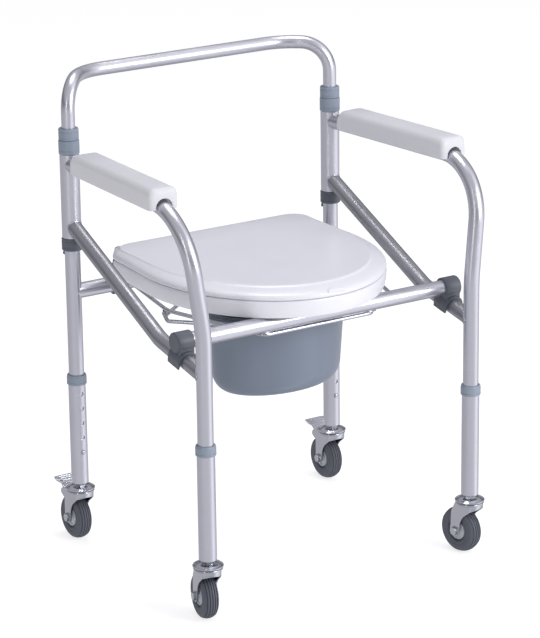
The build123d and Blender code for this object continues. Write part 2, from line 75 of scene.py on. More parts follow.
HALF_WIDTH = middle("rear_post_right").x
REAR_Y = middle("rear_post_right").y
FRONT_Y = middle("lower_leg_front_right").y
MIDDLE_Y = (FRONT_Y + REAR_Y) / 2
TUBE_R = (span("rear_post_right", 0)[1] - span("rear_post_right", 0)[0]) / 2
LEG_R = (span("lower_leg_rear_right", 0)[1] - span("lower_leg_rear_right", 0)[0]) / 2
LEG_LOW = span("lower_leg_rear_right", 2)[0]
SLEEVE_LOW, SLEEVE_HIGH = span("sleeve_right", 2)
SLEEVE_R = (span("sleeve_right", 0)[1] - span("sleeve_right", 0)[0]) / 2
HINGE_Y = joint("lid_hinge")["pos_m"][1] / MM
HINGE_Z = joint("lid_hinge")["pos_m"][2] / MM
LID_LOW = span("seat_ring", 2)[1] + 0.6
LID_TOP = span("seat_lid", 2)[1]
RING_LOW = middle("seat_ring").z * 2 - span("seat_ring", 2)[1]
RING_TOP = span("seat_ring", 2)[1]
SEAT_HALF = span("seat_ring", 0)[1]
SEAT_FRONT = span("seat_ring", 1)[0]
SEAT_REAR = span("seat_lid", 1)[1] + 0.5
BAR = middle("front_crossbar")
PAIL = middle("pail")
PAIL_LOW, PAIL_TOP = span("pail", 2)
WHEEL = joint("wheel_roll_rear_right")["pos_m"]
WHEEL_R = WHEEL[2] / MM
TRAIL = WHEEL[1] / MM - REAR_Y
PEDAL = joint("brake_rear_right")["pos_m"]
PEDAL_Y = PEDAL[1] / MM - REAR_Y
PEDAL_Z = PEDAL[2] / MM
RACE_R = (span("castor_stem_rear_right", 0)[1] - span("castor_stem_rear_right", 0)[0]) / 2
CROWN_R = (span("castor_fork_rear_right", 0)[1] - span("castor_fork_rear_right", 0)[0]) / 2
HUB_R = (span("castor_hub_rear_right", 2)[1] - span("castor_hub_rear_right", 2)[0]) / 2
HALF_LUG = 7  # half the width of the hinge lugs and ears
EAR_X = span("hinge_ears", 0)[1] - HALF_LUG
LUG_X = {"ring": 153, "lid": 133}
BRACE_ENDS = {"front": (404.5, 0.182), "rear": (550.3, 0.4376)}  # height and slope at each end


# ---- materials ----------------------------------------------------------
def noise(nodes, links, coords, scale, detail=3.0):
    node = nodes.new("ShaderNodeTexNoise")
    node.inputs["Scale"].default_value = scale
    node.inputs["Detail"].default_value = detail
    links.new(coords, node.inputs["Vector"])
    return node.outputs["Fac"]


def ranged(nodes, links, value, low, high, start=0.3, stop=0.7):
    node = nodes.new("ShaderNodeMapRange")
    node.inputs["From Min"].default_value = start
    node.inputs["From Max"].default_value = stop
    node.inputs["To Min"].default_value = low
    node.inputs["To Max"].default_value = high
    links.new(value, node.inputs["Value"])
    return node.outputs["Result"]


def blend(nodes, mode="MIX"):
    """A colour mixing node with its factor, two colours and result."""
    node = nodes.new("ShaderNodeMix")
    node.data_type = "RGBA"
    node.blend_type = mode
    pair = [s for s in node.inputs if s.type == "RGBA"]
    return node.inputs["Factor"], pair[0], pair[1], next(s for s in node.outputs if s.type == "RGBA")


def tinted(nodes, links, value, colour, spread):
    """Colour that drifts a little about its middle value."""
    factor, first, second, result = blend(nodes)
    for socket, share in ((first, 1 - spread), (second, 1 + spread)):
        socket.default_value = (*[min(1.0, c * share) for c in colour], 1)
    links.new(value, factor)
    return result


def surface(name, colour, rough, metallic=0.0, spread=0.03, cloud=9.0, grain=700.0,
            bump=0.05, coat=0.0, specular=0.5):
    """A procedural finish: drifting colour, uneven gloss and a fine grain."""
    material = bpy.data.materials.new(name)
    material.use_nodes = True
    nodes = material.node_tree.nodes
    links = material.node_tree.links
    shader = nodes["Principled BSDF"]
    coords = nodes.new("ShaderNodeTexCoord").outputs["Object"]
    clouds = noise(nodes, links, coords, cloud)
    links.new(tinted(nodes, links, clouds, colour, spread), shader.inputs["Base Color"])
    fine = noise(nodes, links, coords, grain, 2.0)
    gloss = noise(nodes, links, coords, cloud * 6, 4.0)
    links.new(ranged(nodes, links, gloss, rough * 0.85, rough * 1.15), shader.inputs["Roughness"])
    relief = nodes.new("ShaderNodeBump")
    relief.inputs["Strength"].default_value = bump
    relief.inputs["Distance"].default_value = 0.0004
    links.new(fine, relief.inputs["Height"])
    links.new(relief.outputs["Normal"], shader.inputs["Normal"])
    shader.inputs["Metallic"].default_value = metallic
    shader.inputs["Specular IOR Level"].default_value = specular
    shader.inputs["Coat Weight"].default_value = coat
    shader.inputs["Coat Roughness"].default_value = 0.2
    return material


FINISH = {
    "aluminium": surface("satin_aluminium", (0.59, 0.59, 0.64), 0.32, 0.92, 0.02, 6, 900, 0.012),
    "zinc_steel": surface("zinc_plate", (0.56, 0.57, 0.61), 0.18, 1.0, 0.06, 30, 500, 0.06),
    "collar_plastic": surface("grey_blue_plastic", (0.23, 0.27, 0.33), 0.42, spread=0.04, bump=0.08),
    "dark_plastic": surface("dark_grey_plastic", (0.09, 0.10, 0.12), 0.45, spread=0.05, bump=0.1),
    "seat_plastic": surface("pale_moulding", (0.70, 0.70, 0.75), 0.34, spread=0.015, cloud=4,
                            bump=0.04, coat=0.15),
    "pad_plastic": surface("pad_moulding", (0.62, 0.62, 0.65), 0.42, spread=0.015, bump=0.1),
    "pail_plastic": surface("pail_moulding", (0.155, 0.185, 0.24), 0.33, spread=0.03, cloud=5,
                            bump=0.05, coat=0.2),
    "tyre_rubber": surface("tyre_rubber", (0.085, 0.092, 0.115), 0.62, spread=0.08, cloud=60,
                           grain=1400, bump=0.2),
    "hub_plastic": surface("hub_plastic", (0.50, 0.51, 0.55), 0.38, spread=0.03, bump=0.06),
}


# Darker copy of the satin aluminium for the slanting braces: painted shade standing in for the dark reflections
# the braces pick up.
SHADED_BRACE_TUBE = surface("dull_aluminium", (0.38, 0.38, 0.41), 0.40, 0.92, 0.03, 6, 900, 0.012)


# ---- mesh helpers -------------------------------------------------------
def piece(name, verts, faces, slot, body, stands_for=(), place=None, bevel=0.0, crease=35):
    """One visible piece from points in millimetres; place is where the points' own origin goes."""
    mesh = bpy.data.meshes.new(name)
    mesh.from_pydata([Vector(v) * MM for v in verts], [], faces)
    if place is not None:
        mesh.transform(place)
    work = bmesh.new()
    work.from_mesh(mesh)
    bmesh.ops.remove_doubles(work, verts=work.verts, dist=0.01 * MM)
    bmesh.ops.dissolve_degenerate(work, edges=work.edges, dist=0.001 * MM)
    bmesh.ops.recalc_face_normals(work, faces=work.faces)
    work.to_mesh(mesh)
    work.free()
    mesh.shade_smooth()
    mesh.set_sharp_from_angle(angle=radians(crease))
    mesh.materials.append(FINISH[slot])
    obj = bpy.data.objects.new(name, mesh)
    bpy.context.scene.collection.objects.link(obj)
    if bevel:
        rounding = obj.modifiers.new("rounding", "BEVEL")
        rounding.width = bevel * MM
        rounding.segments = 3
        rounding.limit_method = "ANGLE"
        rounding.angle_limit = radians(crease)
        rounding.harden_normals = True
    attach(obj, body)
    if stands_for:
        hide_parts(*stands_for)


def strips(rows, columns, wrap=True):
    """Quads between successive rows of points."""
    faces = []
    for i in range(rows - 1):
        for j in range(columns if wrap else columns - 1):
            k = (j + 1) % columns
            faces.append((i * columns + j, i * columns + k,
                          (i + 1) * columns + k, (i + 1) * columns + j))
    return faces


def loft(rings, close=False, caps=False):
    """Points and faces of a surface through rings of equal count."""
    rows = list(rings) + ([rings[0]] if close else [])
    verts = [point for ring in rows for point in ring]
    count = len(rings[0])
    faces = strips(len(rows), count)
    if caps:
        faces.append(tuple(range(count)))
        faces.append(tuple(range((len(rows) - 1) * count, len(rows) * count)))
    return verts, faces


def lathe(profile, segments=72, axis="z", centre=(0, 0, 0), close=False):
    """A turned shape from (radius, height) points, about an axis through centre."""
    rings = []
    for radius, height in profile:
        ring = []
        for k in range(segments):
            a = 2 * pi * k / segments
            u, v = radius * cos(a), radius * sin(a)
            point = (u, v, height) if axis == "z" else (height, u, v)
            ring.append(tuple(p + c for p, c in zip(point, centre)))
        rings.append(ring)
    return loft(rings, close)


def joined(*parts):
    """Several (points, faces) pairs as one."""
    verts = []
    faces = []
    for some_verts, some_faces in parts:
        base = len(verts)
        verts.extend(some_verts)
        faces.extend(tuple(base + i for i in face) for face in some_faces)
    return verts, faces


def arc(centre, radius, start, stop, steps=8):
    """Points of an arc in a plane, angles in degrees."""
    turns = [radians(start + (stop - start) * k / steps) for k in range(steps + 1)]
    return [(centre[0] + radius * cos(a), centre[1] + radius * sin(a)) for a in turns]


def plate(outline, low, high, axis="x"):
    """A flat outline given thickness along an axis; the outline is (y, z) or (x, y)."""
    def at(point, level):
        return (level, *point) if axis == "x" else (*point, level)
    return loft([[at(p, low) for p in outline], [at(p, high) for p in outline]], caps=True)


def corner_place(end, side, turn=0.0):
    """Where the castor and leg pieces of one corner stand."""
    y = FRONT_Y if end == "front" else REAR_Y
    return Matrix.Translation((side * HALF_WIDTH * MM, y * MM, 0)) @ Matrix.Rotation(turn, 4, "Z")


# ---- seat ---------------------------------------------------------------
def seat_outline():
    """Points round the seat, anticlockwise from its left: half ellipse, sides, rear corners."""
    centre_y = MIDDLE_Y + 45
    corner = 42.0
    rear_half = SEAT_HALF - 6
    side_end = SEAT_REAR - corner
    right = []
    for k in range(13):
        t = k / 12
        ease = t * t * (3 - 2 * t)
        right.append((SEAT_HALF - 6 * ease, centre_y + (side_end - centre_y) * t))
    right += arc((rear_half - corner, side_end), corner, 0, 90, 10)[1:]
    front = []
    for k in range(1, 60):
        a = pi + pi * k / 60
        front.append((SEAT_HALF * cos(a), centre_y + (centre_y - SEAT_FRONT) * sin(a)))
    rear = [((rear_half - corner) * (1 - k / 8), SEAT_REAR) for k in range(1, 8)]
    half = right + rear
    mirrored = [(-x, y) for x, y in reversed(half)]
    return front + half + [(0, SEAT_REAR)] + mirrored


OUTLINE = seat_outline()


def inset(points, distance, front_share=1.0, rear_share=1.0):
    """The outline moved inwards; the share changes smoothly from its front to its rear."""
    moved = []
    count = len(points)
    for k, (x, y) in enumerate(points):
        before = points[k - 1]
        after = points[(k + 1) % count]
        along = Vector((after[0] - before[0], after[1] - before[1])).normalized()
        t = (y - SEAT_FRONT) / (SEAT_REAR - SEAT_FRONT)
        step = distance * (front_share + (rear_share - front_share) * t)
        moved.append((x - along.y * step, y + along.x * step))
    return moved


def over_ear(ring, clear_z):
    """Lifts the rear skirt of the lid clear of the hinge ears, which it swings down over."""
    return [(x, y, max(z, clear_z) if y > HINGE_Y + 3 and abs(abs(x) - EAR_X) < 9 else z)
            for x, y, z in ring]


def lid_rings():
    """Skirt, rounded shoulder, broad sloping border and raised flat middle of the lid."""
    skirt = [(5.0, 0.0), (1.4, 0.0), (0.5, 0.9), (0.2, 3.0), (0.5, 5.0), (1.6, 6.8)]
    border = [(3.4, 8.2), (7.0, 9.9), (12.0, 11.6), (17.0, 13.0), (21.5, 14.0), (23.4, 14.5),
              (24.6, 15.3), (25.6, 16.0), (27.0, 16.4), (29.5, 16.5)]
    rings = [[(x, y, LID_LOW + z) for x, y in inset(OUTLINE, d)] for d, z in skirt]
    rings += [[(x, y, LID_LOW + z) for x, y in inset(OUTLINE, d, 1.15, 0.42)] for d, z in border]
    return rings


def shrunk(ring, share):
    """A ring drawn in towards the middle of the seat."""
    centre_y = MIDDLE_Y + 10
    return [(x * share, centre_y + (y - centre_y) * share, z) for x, y, z in ring]


def seat_lid():
    roof = LID_TOP - 4 - LID_LOW
    rings = [over_ear(ring, LID_LOW + roof - 0.5) for ring in lid_rings()]
    edge = rings[-1]
    rings += [shrunk(edge, share) for share in (0.9, 0.7, 0.45, 0.2, 0.0)]
    top = loft(rings)
    hollow = [(5.0, 0.0, 0.0), (5.2, 2.0, 0.0), (7.5, 5.0, 0.3), (12.0, 7.4, 0.5), (24.0, roof, 0.4)]
    inner = [over_ear([(x, y, LID_LOW + z) for x, y in inset(OUTLINE, d, 1.0, 1.0 - slope)],
                      LID_LOW + roof - 1) for d, z, slope in hollow]
    inner += [shrunk(inner[-1], share) for share in (0.8, 0.5, 0.2, 0.0)]
    bumpers = [lathe([(0, roof - 9), (5, roof - 9), (6, roof - 8), (6, roof)], 20,
                     centre=(x, y, LID_LOW))
               for x, y in ((-150, MIDDLE_Y - 60), (150, MIDDLE_Y - 60),
                            (-150, MIDDLE_Y + 130), (150, MIDDLE_Y + 130))]
    verts, faces = joined(top, loft(inner), *bumpers)
    piece("seat_lid_shell", verts, faces, "seat_plastic", "lid", ["seat_lid"], crease=50)


def lug_outline(low_y, low_z, high_z, radius=7.0):
    """Side view of a hinge lug: a round eye on a web."""
    eye = arc((HINGE_Y, HINGE_Z), radius, 20, -110, 14)
    return [(low_y, low_z), (low_y, high_z), (HINGE_Y + 5, high_z)] + eye


def hinge_lug_pieces():
    """Lugs of the ring and lid round the hinge pins."""
    for name, side in SIDES.items():
        for part, outline in (
            ("ring", lug_outline(SEAT_REAR - 28, RING_LOW + 1, RING_TOP - 5)),
            ("lid", lug_outline(HINGE_Y - 7, HINGE_Z, LID_TOP - 4)),
        ):
            x = side * LUG_X[part]
            verts, faces = plate(outline, x - HALF_LUG, x + HALF_LUG)
            piece(f"{part}_lug_{name}", verts, faces, "seat_plastic", part, bevel=0.8)


def finger_tab():
    """Small lifting tab in the front rim of the lid."""
    rows = []
    for k in range(9):
        t = k / 8
        y = SEAT_FRONT + 0.3 + 9 * t
        half = 15 * sqrt(max(0.0, 1 - t * t)) + 0.5
        rows.append([(half * cos(a), y, LID_LOW + 5 + 6.8 * t ** 0.6 + 2.0 * sin(a) * (1 - t))
                     for a in (pi * j / 14 for j in range(15))])
    verts = [point for row in rows for point in row]
    faces = strips(len(rows), 15, wrap=False)
    piece("lid_finger_tab", verts, faces, "seat_plastic", "lid")


def seat_ring():
    """Ring with rounded rims, a crowned top and ribs inside its hollow underside."""
    hole = (104.0, 128.0)
    hole_y = MIDDLE_Y - 28
    rear = SEAT_REAR - 26
    base = [(x, min(y, rear)) for x, y in OUTLINE]

    def outer(distance, z):
        return [(x, min(y, rear - max(0, distance - 0.3)), RING_LOW + z)
                for x, y in inset(OUTLINE, distance)]

    def inner(grow, z):
        ring = []
        for x, y in base:
            a = atan2((y - hole_y) / hole[1], x / hole[0])
            ring.append(((hole[0] + grow) * cos(a), hole_y + (hole[1] + grow) * sin(a), RING_LOW + z))
        return ring

    def between(share, z):
        return [tuple(a + (b - a) * share for a, b in zip(p, q))[:2] + (RING_LOW + z,)
                for p, q in zip(outer(4, 0), inner(4, 0))]

    high = RING_TOP - RING_LOW
    rings = [outer(8, 0.4), outer(6.5, 0), outer(4.6, 0.6), outer(3.2, 3.5), outer(1.6, 10),
             outer(0.6, 18), outer(0.2, high - 6), outer(0.5, high - 3.4), outer(1.6, high - 1.2),
             outer(4, high - 0.2), between(0.06, high), between(0.3, high), between(0.7, high),
             inner(9, high - 0.2), inner(5, high - 0.8), inner(2, high - 2.6), inner(0.4, high - 6),
             inner(0, high - 10), inner(0, 1), inner(0.6, 0.2), inner(3.4, 0.2), inner(4, 1),
             inner(4, high - 6), between(0.8, high - 4), between(0.2, high - 4), outer(8, high - 6)]
    ribs = []
    for k in range(10):
        a = pi * (1.05 + 0.9 * k / 9)
        start = Vector((107 * cos(a), hole_y + 131 * sin(a), 0))
        stop = Vector((188 * cos(a), MIDDLE_Y + 40 + 226 * sin(a), 0))
        across = (stop - start).normalized().cross(Vector((0, 0, 1))) * 1.2
        foot = [start + across, stop + across, stop - across, start - across]
        ribs.append(plate([(p.x, p.y) for p in foot], RING_LOW + 6, RING_TOP - 3, "z"))
    verts, faces = joined(loft(rings, close=True), *ribs)
    piece("seat_ring_shell", verts, faces, "seat_plastic", "ring", ["seat_ring"], crease=40)


def pail():
    """Oval pail: turned-down rim, drawn wall with two mould lines, round-cornered floor, foot ring."""
    rim = PAIL_TOP
    rows = [(117.0, 84.0, rim - 0.9), (119.5, 86.5, rim), (136.0, 104.0, rim), (137.6, 105.6, rim - 0.8),
            (138.0, 106.0, rim - 2.4), (136.6, 104.6, rim - 3.0), (123.0, 90.0, rim - 3.0),
            (120.9, 87.9, rim - 4.6)]
    wall = [(8, 0.0), (24, 0.0), (25.5, 0.7), (27, 0.7), (28.5, 0.0), (60, 0.0), (85, 0.0), (103, 0.0)]
    for drop, swell in wall:
        share = drop / 139
        rows.append((121 - 10 * share + swell, 88 - 10 * share + swell, rim - drop))
    bottom = arc((0, 0), 1, 0, -90, 12)
    for out, down in bottom:
        rows.append((86 + 27.5 * out, 53 + 27.5 * out, PAIL_LOW + 34 + 34 * down))
    hollow = PAIL_LOW + 1.2
    rows += [(70, 40, PAIL_LOW), (68.5, 38.5, hollow), (30, 20, hollow), (0, 0, hollow)]
    floor = PAIL_LOW + 3
    inside = [(0, 0, floor), (60, 35, floor)]
    for out, down in reversed(bottom):
        inside.append((84 + 26 * out, 51 + 26 * out, floor + 31 + 31 * down))
    inside += [(115.5, 82.5, rim - 20), (116.6, 83.6, rim - 4)]
    rings = [[(a * cos(t), PAIL.y + b * sin(t), z) for t in (2 * pi * k / 120 for k in range(120))]
             for a, b, z in rows + inside]
    verts, faces = loft(rings, close=True)
    piece("pail_bowl", verts, faces, "pail_plastic", "seat_frame", ["pail"], crease=40)


# ---- arm pads -----------------------------------------------------------
def arch(half, low, high, corner, steps=8):
    """An arch from its left foot over to its right foot."""
    left = arc((-half + corner, high - corner), corner, 180, 90, steps)
    right = arc((half - corner, high - corner), corner, 90, 0, steps)
    return [(-half, low)] + left + right + [(half, low)]


def notch(radius, low, count):
    """The cut-out that the tube passes through, as an arch of so many points."""
    round_top = arc((0, 0), radius, 180, 0, count - 3)
    return [(-radius, low)] + round_top + [(radius, low)]


def arm_pad(name, side):
    """Moulded channel over the arm: rounded top and ends, each end cut out for the tube."""
    rear_z = 650.0
    front_z = 658.0
    flare = 23.0
    reach = REAR_Y - FRONT_Y - 9.0
    start = 48.0
    length = 286.0
    half = 25.0
    low = -3.0
    high = 30.0
    corner = 11.5
    outer = []
    for back, drop in ((0.0, 17.0), (1.4, 12.0), (3.6, 8.0), (7.0, 4.2), (11.5, 1.5), (17.0, 0.0)):
        squeeze = drop * 0.22
        outer.append((start + back, arch(half - squeeze, low, high - drop, corner)))
    outer += [(start + length * t, arch(half, low, high, corner)) for t in (0.3, 0.6, 0.9)]
    end = start + length
    for ahead, shrink in ((8.0, 0.0), (5.6, 0.5), (3.4, 1.5), (1.6, 3.1), (0.5, 5.0), (0.0, 6.6)):
        outer.append((end - ahead, arch(half - shrink, low, high - shrink, corner - shrink * 0.4)))
    count = len(outer[0][1])
    wall = 3.0
    cut = notch(TUBE_R + 1.6, low, count)
    inside = [(end - wall, arch(half - wall - 1, low, high - wall - 2, 9)),
              (start + wall + 8, arch(half - wall - 1, low, high - wall - 2, 9)),
              (start + wall, arch(half - wall - 3, low, high - 14, 7))]
    rows = outer + [(end, cut), (end - wall, cut)] + inside + [(start + wall, cut), (start, cut)]
    angle = atan2(flare, reach) * side
    rise = atan2(front_z - rear_z, reach)
    place = (Matrix.Translation((side * HALF_WIDTH * MM, REAR_Y * MM, rear_z * MM))
             @ Matrix.Rotation(angle, 4, "Z") @ Matrix.Rotation(-rise, 4, "X"))
    verts = [(u, -v, w) for v, ring in rows + [rows[0]] for u, w in ring]
    faces = strips(len(rows) + 1, count, wrap=False)
    for foot in (0, count - 1):
        faces.append(tuple(row * count + foot for row in range(len(rows))))
    piece(f"arm_pad_shell_{name}", verts, faces, "pad_plastic", f"side_{name}",
                 [f"arm_pad_{name}"], place, bevel=0.7, crease=40)


# ---- collars ------------------------------------------------------------
def collar(name, body, stands_for, slot, places, low, profile):
    """Turned collars, one on each place; profile is (radius, height above low)."""
    parts = [lathe(profile, 64, centre=(x, y, low), close=True) for x, y in places]
    verts, faces = joined(*parts)
    piece(name, verts, faces, slot, body, stands_for, bevel=0.35, crease=30)


def ribbed(radius, bore, height, ribs):
    """A collar's section: chamfered ends, a step and shallow grooves."""
    points = [(bore, 0.0), (radius - 0.8, 0.0), (radius, 0.9)]
    for rib in ribs:
        points += [(radius, rib - 0.7), (radius - 0.5, rib - 0.3), (radius - 0.5, rib + 0.3),
                   (radius, rib + 0.7)]
    return points + [(radius, height - 1.4), (radius - 1.2, height), (bore, height)]


def post_collar_pieces():
    posts = [(side * HALF_WIDTH, REAR_Y) for side in SIDES.values()]
    low = span("pivot_collars", 2)[0]
    collar("pivot_collar_shells", "rear_frame", ["pivot_collars"], "dark_plastic", posts, low,
           ribbed(17.0, TUBE_R + 0.05, SLEEVE_LOW - 0.3 - low, (5.0, 16.0)))
    collar_low = SLEEVE_HIGH + 0.3
    high = span("post_collars", 2)[1]
    collar("post_collar_shells", "rear_frame", ["post_collars"], "collar_plastic", posts, collar_low,
           ribbed(17.0, TUBE_R + 0.05, high - collar_low, (6.0,)))
    low, high = span("backrest_collars", 2)
    collar("backrest_collar_shells", "backrest", ["backrest_collars"], "collar_plastic", posts, low,
           ribbed(16.4, 11.15, high - low, (3.4, 14.0)))


def leg_collar(end, name, side):
    node = f"leg_collar_{end}_{name}"
    low, high = span(node, 2)
    bore = LEG_R + 0.05
    lip = high - low
    profile = [(bore, 0.0), (15.9, 0.0), (16.4, 0.6), (16.4, 3.4), (15.9, 3.8), (15.9, 4.4),
               (16.4, 4.8), (16.4, 12.0), (16.0, 14.6), (15.2, 16.4), (14.2, lip),
               (TUBE_R + 0.32, lip), (TUBE_R + 0.32, lip - 3.9), (bore, lip - 3.9)]
    verts, faces = lathe(profile, 64, centre=(0, 0, low), close=True)
    piece(f"leg_collar_shell_{end}_{name}", verts, faces, "collar_plastic",
                 f"leg_{end}_{name}", [node], corner_place(end, side), bevel=0.25, crease=30)


# ---- castors, built at the origin with the wheel trailing to +Y ---------
def stem_shape():
    """Plug, washer, nut, upper race plate with its rolled rings, and king pin."""
    rolled = [(-2.7, 92.2), (-0.9, 92.6), (0.0, 93.8), (-0.2, 95.0), (-1.3, 95.7), (-2.9, 95.3),
              (-3.9, 94.7), (-5.0, 95.0), (-6.2, 96.4), (-8.4, 97.4), (-12.6, 97.6)]
    turned = lathe([(0, 83.6), (7.2, 83.6), (7.5, 84.2), (7.5, 85.8), (4.9, 86.2), (4.9, 92.2)]
                   + [(RACE_R + r, z) for r, z in rolled]
                   + [(10.2, 98.3), (7.6, 98.4), (7.6, 103.2), (12.9, 103.4), (LEG_R - 0.1, 104.4),
                      (LEG_R - 0.1, LEG_LOW), (12.6, LEG_LOW), (12.6, 120.0), (0, 120.0)], 64)
    hexagon = [(9.7 * cos(pi * k / 3), 9.7 * sin(pi * k / 3)) for k in range(6)]
    return joined(turned, plate(hexagon, 98.2, 103.3, "z"))


def cheek_outline(braked):
    """Side view of a fork cheek: swept front edge, round axle boss, upright rear edge."""
    boss = arc((TRAIL, WHEEL_R), 9.6, 168, 372, 20)
    front = [(-15.6, 90.5), (-15.4, 79.0), (-12.0, 75.5), (-6.5, 71.5), (-0.5, 66.5), (3.8, 60.5),
             (6.6, 53.5), (8.2, 46.0)]
    rear = [(27.2, 56.0), (26.0, 72.0)]
    if braked:
        ear = arc((PEDAL_Y, PEDAL_Z), 5.8, -80, 85, 12)
        rear = [(27.2, 56.0), (27.0, 70.0)] + ear + [(25.0, 88.5)]
    return front + boss + rear + [(17.0, 90.5)]


def fork_apron(inner, thick):
    """Curved front of the fork under its crown, arched over the wheel."""
    rows = []
    for shell, levels in ((thick, (0.0, 4.4, 9.4, 13.6)), (0.0, (13.6, 9.4, 4.4, 0.0))):
        reach = CROWN_R - 3.4 + shell
        edge = pi / 2 - asin(min(1.0, (inner + shell) / reach))
        for depth in levels:
            tuck = 0.008 * depth ** 2
            ring = []
            for k in range(33):
                a = pi + edge + (pi - 2 * edge) * k / 32
                bow = 0.34 * depth * max(0.0, -sin(a)) ** 3
                ring.append((reach * cos(a), (reach - tuck) * sin(a), 90.4 - depth + bow))
            rows.append(ring)
    rows.append(rows[0])
    return [p for ring in rows for p in ring], strips(len(rows), 33, wrap=False)


def fork_shape(braked):
    """Pressed fork: domed crown with a race groove, curved apron and two cheeks."""
    inner = 14.0
    thick = 2.4
    rim = [(-1.2, 88.2), (-0.3, 88.8), (0.0, 90.0), (-0.4, 91.2), (-1.6, 91.9), (-4.0, 91.9),
           (-4.7, 91.4), (-5.5, 91.9)]
    crown = lathe([(5.0, 88.2)] + [(CROWN_R + r, z) for r, z in rim] + [(5.0, 91.9)], 64, close=True)
    cheeks = [plate(cheek_outline(braked), side * inner, side * (inner + thick))
              for side in (-1, 1)]
    return joined(crown, fork_apron(inner, thick), *cheeks)


def hexagon_head(at, thick, size):
    """A hexagonal bolt head or nut on the axle."""
    outline = [(TRAIL + size * cos(pi * k / 3), WHEEL_R + size * sin(pi * k / 3)) for k in range(6)]
    return plate(outline, at, at + thick)


def axle_shape():
    outer = 16.4
    shank = lathe([(0, -outer - 4.4), (3.9, -outer - 4.2), (3.9, outer + 5.4), (3.2, outer + 6.0),
                   (0, outer + 6.0)], 32, "x", (0, TRAIL, WHEEL_R))
    washers = [lathe([(4, x), (8.2, x), (8.2, x + 0.9), (4, x + 0.9)], 36, "x",
                     (0, TRAIL, WHEEL_R), close=True) for x in (-outer - 0.95, outer + 0.05)]
    return joined(shank, *washers, hexagon_head(-outer - 4.4, 3.4, 7.2),
                  hexagon_head(outer + 1.0, 3.6, 7.2))


def hub_shape():
    """Wheel centre: bearing boss, dished web with a raised ring, and a rim with a lip."""
    dish = [(-9.0, 13.3), (-8.4, 12.6), (-8.1, 10.2), (-7.0, 9.3), (-3.4, 9.0), (-2.6, 9.8),
            (-1.8, 11.0), (-0.5, 11.0), (-0.1, 10.2), (0.0, 9.0)]
    half = [(4.1, 13.3)] + [(HUB_R + r, x) for r, x in dish]
    profile = half + [(r, -x) for r, x in reversed(half)]
    return lathe(profile, 72, "x", (0, TRAIL, WHEEL_R), close=True)


def tyre_shape():
    """Tyre with a bead line, a sidewall step and a round tread with three grooves."""
    half = [(HUB_R + 0.1, 8.6), (HUB_R + 2.6, 8.8), (HUB_R + 3.4, 9.6), (HUB_R + 4.0, 11.4),
            (HUB_R + 5.0, 11.9), (23.0, 12.2), (24.0, 11.8), (24.8, 12.2), (28.5, 12.4),
            (31.8, 12.0), (33.9, 10.6)]
    tread = []
    for centre in (8.2, 4.1, 0.0):
        for step, cut in ((0.95, 0.0), (0.5, 1.6), (-0.5, 1.6), (-0.95, 0.0)):
            if centre + step > 0:
                tread.append((crown_height(centre + step) - cut, centre + step))
    side = half + tread
    profile = side + [(r, -x) for r, x in reversed(side)]
    return lathe(profile, 96, "x", (0, TRAIL, WHEEL_R), close=True)


def crown_height(x):
    """Radius of the round tread at a distance from the wheel's middle."""
    return WHEEL_R - 0.03 * x * x


def pedal_shape():
    """Pressed pedal: root between the fork's ears, flared ribbed toe plate, shoe and pin."""
    half = 11.8
    root = [(27.0, 79.0), (29.0, 84.0), (34.0, 85.2), (39.0, 88.2), (43.6, 91.8), (45.4, 89.6),
            (41.0, 84.0), (39.6, 79.6), (36.0, 77.4)]
    shoe = [(37.0, 80.0), (42.4, 80.0), (45.3, 72.2), (44.0, 70.7), (37.0, 74.2)]
    sections = [(40.6, 90.0, 11.8), (43.6, 92.0, 13.6), (47.0, 94.4, 17.0), (50.5, 96.5, 18.8),
                (54.0, 97.8, 19.0), (56.6, 98.5, 18.4), (57.8, 98.7, 16.6)]
    rows = [[(-w, y, z), (w, y, z), (w, y + 0.9, z - 2.1), (-w, y + 0.9, z - 2.1)]
            for y, z, w in sections]
    ribs = [lathe([(0, -w), (0.9, -w + 1), (0.9, w - 1), (0, w)], 12, "x", (0, y, z))
            for y, z, w in ((46.0, 93.9, 14.0), (50.2, 96.5, 16.5), (54.2, 98.0, 16.5))]
    pin = lathe([(0, -16.3), (2.9, -16.3), (2.9, 16.3), (0, 16.3)], 32, "x", (0, PEDAL_Y, PEDAL_Z))
    return joined(plate(root, -half, half), plate(shoe, -half + 3, half - 3),
                  loft(rows, caps=True), *ribs, pin)


def castor(end, name, side):
    """All the visible pieces of one castor, each on its own body."""
    spin = joint(f"wheel_roll_{end}_{name}")["axis"]
    place = corner_place(end, side, atan2(spin[1], spin[0]))
    spot = f"{end}_{name}"
    for part, shape, slot, body, round_off in (
        ("stem", stem_shape(), "zinc_steel", "leg", 0.0),
        ("fork", fork_shape(end == "rear"), "zinc_steel", "fork", 0.5),
        ("axle", axle_shape(), "zinc_steel", "fork", 0.35),
        ("hub", hub_shape(), "hub_plastic", "wheel", 0.0),
        ("tyre", tyre_shape(), "tyre_rubber", "wheel", 0.0),
    ):
        piece(f"castor_{part}_mesh_{spot}", *shape, slot, f"{body}_{spot}",
              [f"castor_{part}_{spot}"], place, bevel=round_off)
    if end == "rear":
        piece(f"brake_pedal_mesh_{name}", *pedal_shape(), "zinc_steel", f"brake_{spot}",
              [f"brake_pedal_rear_{name}"], place, bevel=0.4)


